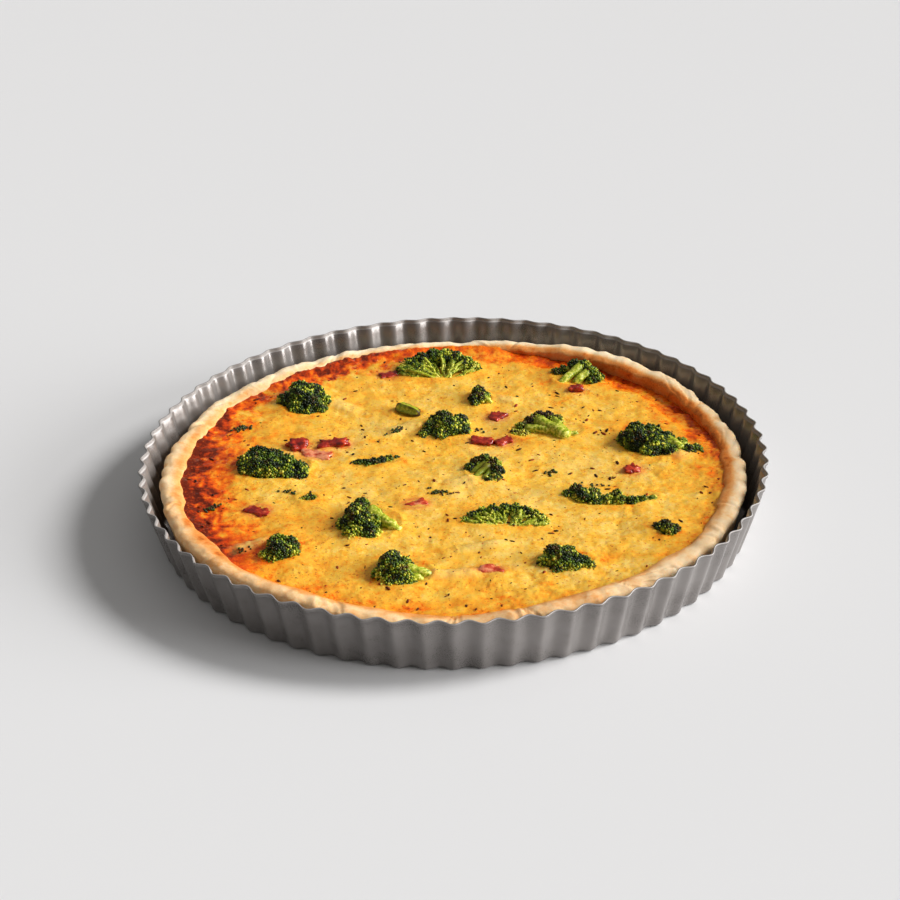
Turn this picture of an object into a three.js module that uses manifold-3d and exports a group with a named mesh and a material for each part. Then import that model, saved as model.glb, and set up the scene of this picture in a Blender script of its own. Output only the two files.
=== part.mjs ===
// A fluted loose-base tart pan, 280 mm across the rim, with a baked broccoli and ham quiche in it.
// Units are millimetres, +Z is up, and the origin is the middle of the pan's underside.
//
// The pan is two pieces: a fluted ring whose bottom edge turns in to a narrow ledge, and a flat
// disc that lies on that ledge and is pushed up out of the ring to free what was baked.
// The quiche is a pastry case, a set egg filling, and the broccoli and ham pieces baked into it.

import * as THREE from "three";
import { mergeVertices } from "three/addons/utils/BufferGeometryUtils.js";
import Module from "manifold-3d";

// ---- Driving dimensions ----

const gap = 0.3; // between pieces that lie on each other

const panHeight = 28;
const rimRadius = 140; // to the crests of the flutes
const wallDraft = 8.5; // how much wider the rim is than the foot, on the radius
const fluteCount = 72;
const fluteSteps = 4; // facets to one flute
const rimFluteDepth = 2.4; // crest to crease
const footFluteDepth = 2.0;
const rimEdgeDip = 0.5; // how much lower the rim's edge lies on a crest than in a crease
const sheet = 0.8; // sheet thickness
const cornerRadius = 2; // where the wall meets the ledge
const lipHeight = 1.6; // the small step below the rim's edge
const lipStep = 0.5;
const ledgeInnerRadius = 121.5;

const baseRadius = 126.5;
const baseChamfer = 0.2;

const crustBottom = sheet + gap + sheet + gap;
const crustFloor = 4; // thickness under the filling
const crustTopRadius = 131; // outer radius where the side ends, at crustTopHeight
const crustTopHeight = 20;
const crustSlope = wallDraft / panHeight; // the case keeps the slope of the pan's wall
const crustEdgeWidth = 7;
const crustShoulder = 1.2; // how far the edge rounds down from its crest
const roundSteps = 96; // facets round the base, the case and the filling

const fillingTop = 18.6;
const fillingTopRadius = 121.7;
const fillingBottomRadius = 117;

const pieceSink = 3.6; // how deep the broccoli is baked into the filling
const stalkSides = 8;
const hamSink = 1.6;

// Height of the case's edge round the pan, as [angle in degrees, height]. It stands uneven,
// with two lifted stretches at the front and low places at the very front and the back.
const crustEdge = [
  [0, 21.5],
  [50, 23.5],
  [92, 19.6],
  [125, 21],
  [180, 21.5],
  [215, 22.5],
  [240, 24.4],
  [268, 20.6],
  [292, 24.2],
  [325, 22.5],
];

// The broccoli: place of the crown's middle, its size across X and Y, how far it stands out of
// the filling, and, where a stalk shows, the stalk's end from the crown's middle and its radius.
const broccoli = {
  back_fan: { at: [-7, 100], size: [40, 19], rise: 8.6, stalk: [2, -11, 3] },
  back_left: { at: [-70, 67], size: [25, 27], rise: 9 },
  back_right: { at: [59, 88], size: [25, 19], rise: 7.6, stalk: [12, -6, 2.4] },
  small_back: { at: [13, 67], size: [11, 12], rise: 6.6 },
  centre: { at: [-4, 40], size: [24, 22], rise: 7.6 },
  stem_slice: { at: [-21, 55], size: [15, 11], rise: 4.6 },
  long_stalk: { at: [39, 38], size: [27, 20], rise: 6, stalk: [20, -13, 2.8] },
  right_large: { at: [94, 20], size: [37, 26], rise: 9 },
  left_large: { at: [-80, 5], size: [33, 23], rise: 8.4 },
  strip_left: { at: [-35, 9], size: [24, 9], rise: 3.6 },
  hook: { at: [14, -3], size: [17, 20], rise: 6.6 },
  strip_right: { at: [69, -27], size: [42, 17], rise: 5.6 },
  arch: { at: [22, -43], size: [38, 13], rise: 5.6, stalk: [1, -9, 3] },
  small_right: { at: [91, -56], size: [12, 10], rise: 5.4 },
  tree_left: { at: [-40, -46], size: [21, 27], rise: 9, stalk: [17, -7, 3] },
  front_right: { at: [47, -80], size: [24, 16], rise: 8 },
  front_left: { at: [-73, -68], size: [18, 17], rise: 7.6 },
  front_tree: { at: [-25, -87], size: [17, 22], rise: 9, stalk: [17, 3, 2.6] },
  small_left: { at: [-64, -23], size: [10, 8], rise: 3 },
};

// The ham: place, length, width, height above the filling, and turn in degrees.
const ham = {
  left_cube: { at: [-71, 24], size: [8, 7], rise: 3.6, turn: 35 },
  left_long: { at: [-54, 26], size: [13, 6], rise: 2.4, turn: 8 },
  left_flat: { at: [-62, 16], size: [12, 7], rise: 1.4, turn: -15 },
  back: { at: [-31, 94], size: [8, 5], rise: 1.6, turn: 20 },
  middle_wide: { at: [13, 26], size: [9, 6], rise: 2.2, turn: -10 },
  middle_small: { at: [23, 25], size: [7, 5], rise: 2, turn: 30 },
  back_middle: { at: [20, 50], size: [8, 6], rise: 1.6, turn: 50 },
  by_stalk: { at: [58, 75], size: [6, 5], rise: 3, turn: 15 },
  right: { at: [80, -3], size: [7, 6], rise: 2.4, turn: 40 },
  left_front: { at: [-85, -33], size: [10, 6], rise: 1.4, turn: -20 },
  centre: { at: [-16, -30], size: [9, 6], rise: 1.6, turn: 25 },
  front: { at: [15, -85], size: [11, 5], rise: 1.4, turn: 0 },
};

const colours = {
  coatedSteel: 0x6f6a67,
  pastry: 0xe9c79a,
  egg: 0xf3bf5e,
  broccoli: 0x3c6a2a,
  ham: 0xb8503f,
};

// ---- Helpers ----

const wasm = await Module();
wasm.setup();

const turn = 2 * Math.PI;

// A closed surface swept once round the Z axis. profileAt(angle) gives its [radius, height]
// points in order, counter-clockwise seen with the radius to the right. A ring's profile closes
// on itself; a solid one starts and ends on the axis, where each end is a single vertex.
function sweptRound(profileAt, steps, isRing) {
  const profiles = Array.from({ length: steps }, (_, step) => profileAt((turn * step) / steps));
  const pointCount = profiles[0].length;
  const positions = [];
  profiles.forEach((profile, step) => {
    const angle = (turn * step) / steps;
    for (const [radius, height] of profile) {
      positions.push(radius * Math.cos(angle), radius * Math.sin(angle), height);
    }
  });
  const faces = [];
  const segments = isRing ? pointCount : pointCount - 1;
  for (let step = 0; step < steps; step++) {
    const here = step * pointCount;
    const next = ((step + 1) % steps) * pointCount;
    for (let point = 0; point < segments; point++) {
      const after = (point + 1) % pointCount;
      const onAxisBelow = !isRing && point === 0;
      const onAxisAbove = !isRing && after === pointCount - 1;
      if (!onAxisBelow) faces.push(here + point, next + point, next + after);
      if (!onAxisAbove) faces.push(here + point, next + after, here + after);
    }
  }
  const geometry = new THREE.BufferGeometry();
  geometry.setAttribute("position", new THREE.Float32BufferAttribute(positions, 3));
  geometry.setIndex(faces);
  return mergeVertices(geometry);
}

function solidFrom(geometry) {
  const bare = geometry.clone();
  bare.deleteAttribute("normal");
  bare.deleteAttribute("uv");
  const merged = mergeVertices(bare);
  return new wasm.Manifold(
    new wasm.Mesh({
      numProp: 3,
      vertProperties: merged.getAttribute("position").array,
      triVerts: new Uint32Array(merged.index.array),
    }),
  );
}

function geometryFrom(solid) {
  const mesh = solid.getMesh();
  const geometry = new THREE.BufferGeometry();
  geometry.setAttribute("position", new THREE.BufferAttribute(mesh.vertProperties, 3));
  geometry.setIndex(new THREE.BufferAttribute(mesh.triVerts, 1));
  return geometry;
}

function namedMesh(name, geometry, colour, roughness, metalness) {
  geometry.computeVertexNormals();
  const material = new THREE.MeshStandardMaterial({ color: colour, roughness, metalness });
  const mesh = new THREE.Mesh(geometry, material);
  mesh.name = name;
  return mesh;
}

// ---- The pan ----

// The flutes as a wave: 1 on a crest, -1 in a crease. The facets' edges lie half a facet off the
// crests and creases, so that each of those is a narrow flat; the wave is scaled to reach 1 there.
function fluteWave(angle) {
  const halfFacet = Math.PI / fluteSteps;
  return Math.cos(fluteCount * angle + halfFacet) / Math.cos(halfFacet);
}

// Outer radius of the ring's wall at a height, for a place on the flute wave.
function wallRadius(height, wave) {
  const share = height / panHeight;
  const depth = footFluteDepth + (rimFluteDepth - footFluteDepth) * share;
  const crest = rimRadius - wallDraft * (1 - share);
  return crest - (depth * (1 - wave)) / 2;
}

function ringProfile(angle) {
  const wave = fluteWave(angle);
  const edge = panHeight - (rimEdgeDip * (1 + wave)) / 2;
  const underLip = edge - lipHeight;
  const footRadius = wallRadius(cornerRadius, wave);
  const rimOuter = wallRadius(edge, wave);
  const wallUnderLip = wallRadius(underLip, wave) - lipStep;
  return [
    [ledgeInnerRadius, 0],
    [footRadius - cornerRadius, 0],
    [footRadius, cornerRadius],
    [wallUnderLip, underLip],
    [rimOuter, underLip + lipStep],
    [rimOuter, edge],
    [rimOuter - sheet, edge],
    [wallUnderLip - sheet, underLip],
    [footRadius - sheet, cornerRadius],
    [footRadius - cornerRadius, sheet],
    [ledgeInnerRadius, sheet],
  ];
}

function flutedRing() {
  const facets = fluteCount * fluteSteps;
  const geometry = sweptRound(ringProfile, facets, true);
  geometry.rotateZ(Math.PI / facets); // half a facet, which brings a crest onto the X axis
  return namedMesh("fluted_ring", geometry, colours.coatedSteel, 0.38, 0.6);
}

function looseBase() {
  const low = sheet + gap;
  const high = low + sheet;
  const profile = [
    [0, low],
    [baseRadius - baseChamfer, low],
    [baseRadius, low + baseChamfer],
    [baseRadius, high - baseChamfer],
    [baseRadius - baseChamfer, high],
    [0, high],
  ];
  const geometry = sweptRound(() => profile, roundSteps, false);
  return namedMesh("loose_base", geometry, colours.coatedSteel, 0.42, 0.6);
}

// ---- The quiche ----

// Height of the pastry edge at an angle: smooth steps between the listed heights.
function crustEdgeHeight(angle) {
  const degrees = (angle * 360) / turn;
  const last = crustEdge.length - 1;
  const index = crustEdge.findLastIndex(([start]) => start <= degrees);
  const [start, startHeight] = crustEdge[index];
  const [end, endHeight] = index === last ? [360, crustEdge[0][1]] : crustEdge[index + 1];
  return startHeight + (endHeight - startHeight) * THREE.MathUtils.smoothstep(degrees, start, end);
}

function crustSideRadius(height) {
  return crustTopRadius - (crustTopHeight - height) * crustSlope;
}

function crustProfile(angle) {
  const edge = crustEdgeHeight(angle);
  const side = edge - 2 * crustShoulder;
  const outer = crustSideRadius(side);
  const innerCrest = outer - crustEdgeWidth;
  return [
    [0, crustBottom],
    [crustSideRadius(crustBottom) - crustShoulder, crustBottom],
    [crustSideRadius(crustBottom + crustShoulder), crustBottom + crustShoulder],
    [outer, side],
    [outer - crustShoulder, edge - crustShoulder / 2],
    [outer - crustEdgeWidth / 2, edge],
    [innerCrest, edge - crustShoulder],
    [fillingTopRadius + gap, fillingTop - crustShoulder],
    [fillingBottomRadius + gap, crustBottom + crustFloor],
    [0, crustBottom + crustFloor],
  ];
}

function pastryCrust() {
  const geometry = sweptRound(crustProfile, roundSteps, false);
  return namedMesh("pastry_crust", geometry, colours.pastry, 0.85, 0);
}

// A rounded lump from just below the filling's top to its rise above it, with an optional
// stalk lying on the filling. grow makes it larger all round, for the pocket that holds it.
function broccoliSolid({ at, size, rise, stalk }, grow) {
  const lump = new THREE.IcosahedronGeometry(1, 1);
  const height = rise + pieceSink;
  lump.scale(size[0] / 2 + grow, size[1] / 2 + grow, height / 2 + grow);
  lump.translate(at[0], at[1], fillingTop - pieceSink + height / 2);
  const crown = solidFrom(lump);
  if (!stalk) return crown;
  const [reachX, reachY, radius] = stalk;
  const length = Math.hypot(reachX, reachY);
  const rod = new THREE.CylinderGeometry(radius + grow, radius + grow, length + grow, stalkSides);
  rod.translate(0, (length + grow) / 2, 0);
  rod.rotateZ(Math.atan2(reachY, reachX) - Math.PI / 2);
  rod.translate(at[0], at[1], fillingTop);
  return crown.add(solidFrom(rod));
}

function hamSolid({ at, size, rise, turn: degrees }, grow) {
  const height = rise + hamSink;
  const block = new THREE.BoxGeometry(size[0] + 2 * grow, size[1] + 2 * grow, height + 2 * grow);
  block.rotateZ(THREE.MathUtils.degToRad(degrees));
  block.translate(at[0], at[1], fillingTop - hamSink + height / 2);
  return solidFrom(block);
}

// The filling, with a pocket round every piece that is baked into it.
function eggFilling() {
  const profile = [
    [0, crustBottom + crustFloor + gap],
    [fillingBottomRadius, crustBottom + crustFloor + gap],
    [fillingTopRadius, fillingTop],
    [0, fillingTop],
  ];
  let filling = solidFrom(sweptRound(() => profile, roundSteps, false));
  for (const piece of Object.values(broccoli)) {
    filling = filling.subtract(broccoliSolid(piece, gap));
  }
  for (const piece of Object.values(ham)) {
    filling = filling.subtract(hamSolid(piece, gap));
  }
  return namedMesh("egg_filling", geometryFrom(filling), colours.egg, 0.55, 0);
}

function broccoliPieces() {
  return Object.entries(broccoli).map(([name, piece]) => {
    const geometry = geometryFrom(broccoliSolid(piece, 0));
    return namedMesh(`broccoli_${name}`, geometry, colours.broccoli, 0.8, 0);
  });
}

function hamPieces() {
  return Object.entries(ham).map(([name, piece]) => {
    const geometry = geometryFrom(hamSolid(piece, 0));
    return namedMesh(`ham_${name}`, geometry, colours.ham, 0.5, 0);
  });
}

// ---- Assembly ----

const pan = new THREE.Group();
pan.add(flutedRing(), looseBase());

const quiche = new THREE.Group();
quiche.add(pastryCrust(), eggFilling(), ...broccoliPieces(), ...hamPieces());

const tartPan = new THREE.Group();
tartPan.add(pan, quiche);

export default tartPan;
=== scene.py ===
"""A filled quiche pan: a fluted loose-base tin, its base, and the broccoli and ham quiche baked in it.

Lengths inside the mesh code are millimetres in the pan's own frame, as in the CAD model, and turn into
metres when a mesh is made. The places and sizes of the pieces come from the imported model's nodes.
"""
import itertools
import math
from typing import NamedTuple

import bmesh
import bpy
import numpy as np
from mathutils import Matrix, Vector


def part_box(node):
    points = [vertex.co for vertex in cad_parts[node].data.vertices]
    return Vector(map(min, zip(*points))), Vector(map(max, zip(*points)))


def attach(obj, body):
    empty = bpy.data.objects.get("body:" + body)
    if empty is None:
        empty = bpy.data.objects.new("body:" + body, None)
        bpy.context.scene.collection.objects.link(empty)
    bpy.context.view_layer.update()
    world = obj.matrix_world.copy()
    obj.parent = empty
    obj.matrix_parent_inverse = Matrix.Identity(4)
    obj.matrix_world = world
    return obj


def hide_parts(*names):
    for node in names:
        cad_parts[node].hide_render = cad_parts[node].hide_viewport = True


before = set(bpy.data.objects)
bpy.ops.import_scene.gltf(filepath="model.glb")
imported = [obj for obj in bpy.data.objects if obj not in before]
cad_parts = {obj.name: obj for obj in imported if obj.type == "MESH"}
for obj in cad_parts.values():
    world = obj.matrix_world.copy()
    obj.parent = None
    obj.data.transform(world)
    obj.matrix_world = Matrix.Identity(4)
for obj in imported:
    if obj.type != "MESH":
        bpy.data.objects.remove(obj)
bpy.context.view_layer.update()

MM = 0.001
TURN = 2 * math.pi


# ---- Small helpers ----


def node_box(node):
    """A node's lowest and highest corners, in millimetres."""
    low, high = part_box(node)
    return np.array(low) / MM, np.array(high) / MM


def smooth(value, start, end):
    """0 before start, 1 after end, and an easy curve between."""
    share = np.clip((value - start) / (end - start), 0, 1)
    return share * share * (3 - 2 * share)


def bell(value, middle, width):
    """1 at the middle, falling to nothing a couple of widths away."""
    return np.exp(-(((value - middle) / width) ** 2))


def facing(degrees, direction, reach, full):
    """1 within full degrees of a direction, and down to 0 at reach degrees from it."""
    apart = np.abs((degrees - direction + 180) % 360 - 180)
    return smooth(apart, reach, full)


def colour(red, green, blue):
    """Linear colour from the 0 to 255 values it has on screen."""
    share = np.array([red, green, blue]) / 255
    linear = np.where(share <= 0.04045, share / 12.92, ((share + 0.055) / 1.055) ** 2.4)
    return (*linear.tolist(), 1.0)


# ---- Noise ----

NOISE_CELLS = 256
noise_random = np.random.default_rng(7)
noise_order = noise_random.permutation(NOISE_CELLS)
noise_slopes = noise_random.normal(size=(NOISE_CELLS, 3))
noise_slopes /= np.linalg.norm(noise_slopes, axis=1, keepdims=True)


def plain_noise(points):
    """Smooth noise, about -0.8 to 0.8, at an (n, 3) array of points. Its lumps are one unit across."""
    cell = np.floor(points).astype(int)
    local = points - cell
    fade = local**3 * (local * (local * 6 - 15) + 10)
    total = np.zeros(len(points))
    for corner in itertools.product((0, 1), repeat=3):
        x, y, z = ((cell + corner) % NOISE_CELLS).T
        index = noise_order[(noise_order[(noise_order[x] + y) % NOISE_CELLS] + z) % NOISE_CELLS]
        weight = np.prod(np.where(corner, fade, 1 - fade), axis=1)
        total += weight * np.sum(noise_slopes[index] * (local - corner), axis=1)
    return total


def noise(points, size, octaves=1, place=0.0):
    """Layered noise whose largest lumps are size across. place moves it to another stretch."""
    total = np.zeros(len(points))
    for octave in range(octaves):
        shift = place * 17.3 + octave * 31.7
        total += plain_noise(points * (2**octave / size) + shift) / 2**octave
    return total


# ---- Meshes ----


def make_piece(name, points, faces, material, body, replaced=(), attributes=None, slot=None):
    """A smooth-shaded mesh object from points in millimetres, riding on a body. The slot argument is not
    used."""
    mesh = bpy.data.meshes.new(name)
    mesh.from_pydata((np.asarray(points) * MM).tolist(), [], faces)
    for key, values in (attributes or {}).items():
        mesh.attributes.new(key, "FLOAT", "POINT").data.foreach_set("value", values.astype(np.float32))
    mesh.polygons.foreach_set("use_smooth", np.ones(len(mesh.polygons), bool))
    mesh.materials.append(material)
    mesh.update()
    piece = bpy.data.objects.new(name, mesh)
    bpy.context.scene.collection.objects.link(piece)
    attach(piece, body)
    slot = slot or material.name
    if replaced:
        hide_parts(*replaced)
    return piece


def ring_faces(steps, rows, closed):
    """Quads over a (steps, rows) grid that goes once round; closed joins the last row to the first."""
    step = np.arange(steps)[:, None]
    row = np.arange(rows if closed else rows - 1)[None, :]
    here, there = step * rows, (step + 1) % steps * rows
    after = (row + 1) % rows
    quads = np.stack([here + row, there + row, there + after, here + after], axis=-1)
    return quads.reshape(-1, 4).tolist()


def round_points(angles, radius, height):
    """Points of a (steps, rows) grid of radii and heights round the Z axis."""
    x = radius * np.cos(angles)[:, None]
    y = radius * np.sin(angles)[:, None]
    z = np.broadcast_to(height, x.shape)
    return np.stack([x, y, z], axis=-1).reshape(-1, 3)


def capped(points, faces, loop, centre, facing_up):
    """Adds a fan that closes a loop of point numbers at a centre point."""
    hub = len(points)
    for here, there in zip(loop, np.roll(loop, -1)):
        faces.append([int(here), int(there), hub] if facing_up else [int(there), int(here), hub])
    return np.vstack([points, [centre]])


# ---- Material helpers ----


class Look:
    """A procedural material: a Principled shader and short ways to add the nodes that drive it."""

    def __init__(self, name, **values):
        self.material = bpy.data.materials.new(name)
        self.material.use_nodes = True
        self.tree = self.material.node_tree
        self.shader = self.tree.nodes["Principled BSDF"]
        self.place = self.tree.nodes.new("ShaderNodeTexCoord").outputs["Object"]
        for socket, value in values.items():
            self.shader.inputs[socket.replace("_", " ")].default_value = value

    def add(self, kind, **inputs):
        """A new node. An input's name has underscores where its socket's name has spaces."""
        node = self.tree.nodes.new(kind)
        for socket, value in inputs.items():
            self.join(node.inputs[socket.replace("_", " ")], value)
        return node

    def join(self, socket, value):
        """Links a node's output to a socket, or sets the socket to a plain value."""
        if isinstance(value, bpy.types.NodeSocket):
            self.tree.links.new(value, socket)
        else:
            socket.default_value = value

    def noise(self, size_mm, detail=3.0, roughness=0.55):
        """Noise with lumps of about that size, as a 0 to 1 value."""
        node = self.add("ShaderNodeTexNoise", Scale=1 / (size_mm * MM), Detail=detail, Roughness=roughness)
        self.join(node.inputs["Vector"], self.place)
        return node.outputs["Fac"]

    def cells(self, size_mm):
        """Distance to the nearest of scattered points, about 0 to 1."""
        node = self.add("ShaderNodeTexVoronoi", Vector=self.place, Scale=1 / (size_mm * MM))
        return node.outputs["Distance"]

    def attribute(self, name):
        """A value that the mesh holds for each of its points."""
        node = self.add("ShaderNodeAttribute")
        node.attribute_name = name
        return node.outputs["Fac"]

    def span(self, value, low, high, to_low=0.0, to_high=1.0):
        """The value's stretch from low to high, moved to to_low to to_high and held there."""
        ends = {"From_Min": low, "From_Max": high, "To_Min": to_low, "To_Max": to_high}
        return self.add("ShaderNodeMapRange", Value=value, **ends).outputs["Result"]

    def math(self, operation, first, second, clamp=False):
        """One operation on two values. clamp holds the result between 0 and 1."""
        node = self.add("ShaderNodeMath")
        node.operation = operation
        node.use_clamp = clamp
        self.join(node.inputs[0], first)
        self.join(node.inputs[1], second)
        return node.outputs["Value"]

    def vary(self, value, pattern, amount, clamp=False):
        """The value, moved up and down by a noise pattern by up to an amount."""
        return self.math("ADD", value, self.span(pattern, 0.3, 0.7, -amount, amount), clamp)

    def blend(self, factor, first, second):
        """A colour between two colours."""
        node = self.add("ShaderNodeMix")
        node.data_type = "RGBA"
        self.join(node.inputs["Factor"], factor)
        self.join(node.inputs["A"], first)
        self.join(node.inputs["B"], second)
        return node.outputs["Result"]

    def ramp(self, value, *stops):
        """A colour from stops, each a position and the red, green and blue it has on screen."""
        node = self.add("ShaderNodeValToRGB", Fac=value)
        elements = node.color_ramp.elements
        while len(elements) < len(stops):
            elements.new(0.5)
        for element, (position, *tone) in zip(elements, stops):
            element.position = position
            element.color = colour(*tone)
        return node.outputs["Color"]

    def bump(self, *layers):
        """Stacks (value, depth in mm, strength) layers of relief on the shader's normal."""
        normal = None
        for value, depth_mm, strength in layers:
            node = self.add("ShaderNodeBump", Height=value, Distance=depth_mm * MM, Strength=strength)
            if normal is not None:
                self.tree.links.new(normal, node.inputs["Normal"])
            normal = node.outputs["Normal"]
        self.tree.links.new(normal, self.shader.inputs["Normal"])

    def drive(self, **sockets):
        """Links values to the shader's sockets, and gives the finished material."""
        for socket, value in sockets.items():
            self.tree.links.new(value, self.shader.inputs[socket.replace("_", " ")])
        return self.material


# ---- Stage: camera, light and floor ----

CAMERA_DISTANCE = 1.06  # m
CAMERA_AIM = Vector((0, 0, 0.013))  # m
CAMERA_ELEVATION = math.radians(29.627)
CAMERA_AZIMUTH = math.radians(0.6)
CAMERA_ROLL = math.radians(1.307)
CAMERA_YAW = math.radians(0.086)
CAMERA_PITCH = math.radians(0.755)
CAMERA_LENS = 94.6  # mm
CAMERA_SENSOR = 36  # mm

ROOM_TINT = (1.0, 0.98, 0.95, 1)
ROOM_DARKEST = 0.05
ROOM_BRIGHTEST = 0.30
ROOM_FULL_RISE = 0.8  # how high a way points, as a sine, where the room is brightest
FLOOR_REACH = 60.0  # m, so that its edge lies out of view at low angles too


def add_camera():
    """The camera stands off the aim point, then is turned up, aside and round by small amounts."""
    flat = math.cos(CAMERA_ELEVATION)
    forward = Vector(
        (-math.sin(CAMERA_AZIMUTH) * flat, math.cos(CAMERA_AZIMUTH) * flat, -math.sin(CAMERA_ELEVATION))
    )
    right = Vector((math.cos(CAMERA_AZIMUTH), math.sin(CAMERA_AZIMUTH), 0))
    up = right.cross(forward)
    location = CAMERA_AIM - forward * CAMERA_DISTANCE
    for angle, axis in ((CAMERA_PITCH, right), (CAMERA_YAW, up), (CAMERA_ROLL, forward)):
        turned = Matrix.Rotation(angle, 3, axis)
        forward, right, up = turned @ forward, turned @ right, turned @ up
    camera = bpy.data.objects.new("camera", bpy.data.cameras.new("camera"))
    bpy.context.scene.collection.objects.link(camera)
    camera.data.lens = CAMERA_LENS
    camera.data.sensor_width = CAMERA_SENSOR
    camera.matrix_world = Matrix.Translation(location) @ Matrix((right, up, -forward)).transposed().to_4x4()
    bpy.context.scene.camera = camera


def add_sun(name, azimuth, elevation, spread, strength, tint):
    """An even light from one side. Azimuth is in degrees from +X towards +Y; spread softens shadows."""
    data = bpy.data.lights.new(name, "SUN")
    data.angle = math.radians(spread)
    data.energy = strength
    data.color = tint
    light = bpy.data.objects.new(name, data)
    bpy.context.scene.collection.objects.link(light)
    swing, rise = math.radians(azimuth), math.radians(elevation)
    flat = math.cos(rise)
    towards = Vector((math.cos(swing) * flat, math.sin(swing) * flat, math.sin(rise)))
    light.location = towards
    light.rotation_euler = towards.to_track_quat("Z", "Y").to_euler()


def soft_room():
    """A dim room for the background light: darkest round the horizon and brighter overhead."""
    world = bpy.data.worlds.new("studio")
    world.use_nodes = True
    nodes, links = world.node_tree.nodes, world.node_tree.links
    nodes["Background"].inputs["Color"].default_value = ROOM_TINT
    way = nodes.new("ShaderNodeTexCoord").outputs["Generated"]
    parts = nodes.new("ShaderNodeSeparateXYZ")
    rise = nodes.new("ShaderNodeMapRange")
    rise.inputs["From Max"].default_value = ROOM_FULL_RISE
    rise.inputs["To Min"].default_value = ROOM_DARKEST
    rise.inputs["To Max"].default_value = ROOM_BRIGHTEST
    links.new(way, parts.inputs["Vector"])
    links.new(parts.outputs["Z"], rise.inputs["Value"])
    links.new(rise.outputs["Result"], nodes["Background"].inputs["Strength"])
    return world


def add_stage():
    """The room's dim light, two suns and a plain pale floor."""
    scene = bpy.context.scene
    scene.view_settings.view_transform = "Standard"
    scene.world = soft_room()
    add_sun("key", 10, 36, 19, 3.0, (1.0, 0.99, 0.98))
    add_sun("fill", -12, 10, 36, 3.8, (1.0, 1.0, 1.0))
    corners = [(x * FLOOR_REACH, y * FLOOR_REACH, 0) for x, y in ((-1, -1), (1, -1), (1, 1), (-1, 1))]
    mesh = bpy.data.meshes.new("floor")
    mesh.from_pydata(corners, [], [(0, 1, 2, 3)])
    mesh.materials.append(Look("floor", Base_Color=colour(228, 228, 229), Roughness=0.6).material)
    floor = bpy.data.objects.new("floor", mesh)
    scene.collection.objects.link(floor)


# ---- The pan ----

PAN_HEIGHT = 28.0
FLUTES = 72
FLUTE_STEPS = 16
WALL_DRAFT = 8.5  # how much wider the rim is than the foot, on the radius
RIM_RADIUS = 140.0
RIM_FLUTE_DEPTH = 2.4
FOOT_FLUTE_DEPTH = 2.0
RIM_EDGE_DIP = 0.5  # how much lower the rim's edge lies on a crest than in a crease
RIM_ROUNDING = 0.2  # how far the sheet's inner edge rises above its outer edge
CORNER_RADIUS = 2.0
LIP_HEIGHT = 1.8
LIP_STEP = 0.35
LIP_LINE_DEPTH = 0.12
LIP_LINE_WIDTH = 0.07  # of the lip's height
LIP_LINES = (0.42, 0.74)  # how far up the lip the two rolled lines lie, as shares of its height
LEDGE_INNER_RADIUS = 121.5
LEDGE_ROWS = np.array([[0, 0.03, 0.5]])  # shares of the way from the ledge's edge to the corner
SHEET = 0.6

# The base's top line: shares of its radius, and the height there over its flat.
BASE_PROFILE = (
    (0.3, 0),
    (0.6, 0),
    (0.86, 0),
    (0.88, 0.12),
    (0.90, 0.12),
    (0.92, 0),
    (0.985, 0),
    (0.998, 0),
    (1.0, -0.15),
)
BASE_INSET = 0.15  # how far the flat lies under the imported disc's top
BASE_THINNING = 0.2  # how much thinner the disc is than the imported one
BASE_STEPS = 288


def flute_wave(angles):
    """0 on a crest and 1 in a crease. The creases are a little sharper than the crests."""
    return np.abs(np.sin(angles * FLUTES / 2)) ** 1.8


def wall_radius(height, wave):
    """The wall's outer radius at a height. The flutes grow deeper towards the rim."""
    share = height / PAN_HEIGHT
    depth = FOOT_FLUTE_DEPTH + (RIM_FLUTE_DEPTH - FOOT_FLUTE_DEPTH) * share
    return RIM_RADIUS - WALL_DRAFT * (1 - share) - depth * wave


def sheet_loop(radius, height, thickness):
    """Closes an outer line of sheet metal with its inner side and a rounded edge at its far end."""
    along_r = np.gradient(radius, axis=1)
    along_z = np.gradient(height, axis=1)
    length = np.hypot(along_r, along_z)
    out_r, out_z = along_z / length, -along_r / length
    inner_r = (radius - out_r * thickness)[:, ::-1]
    inner_z = (height - out_z * thickness)[:, ::-1]
    return np.hstack([radius, inner_r]), np.hstack([height, inner_z])


def steel_look():
    """Thin steel with a grey non-stick coating: satin, finely grained, and lighter over the rim's edge and
    the lip's inside, partly bare cut steel and partly a painted highlight along the rim.
    """
    look = Look("coated_steel", Metallic=0.45)
    grain = look.noise(0.35, 2)
    cloud = look.noise(22, 3)
    tone = look.blend(look.span(cloud, 0.35, 0.65), colour(124, 119, 116), colour(142, 137, 134))
    # Painted highlight: the rim's edge and the lip's inside are lighter, partly bare steel and partly the
    # highlight along the rim.
    tone = look.blend(look.attribute("bare_edge_and_highlight"), tone, colour(164, 160, 157))
    rough = look.span(look.math("ADD", grain, cloud), 0.7, 1.3, 0.25, 0.34)
    rough = look.math("ADD", rough, look.math("MULTIPLY", look.attribute("bare_edge_and_highlight"), 0.3))
    look.bump((grain, 0.02, 0.35), (look.noise(3.5, 2), 0.05, 0.2))
    return look.drive(Base_Color=tone, Roughness=rough)


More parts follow.
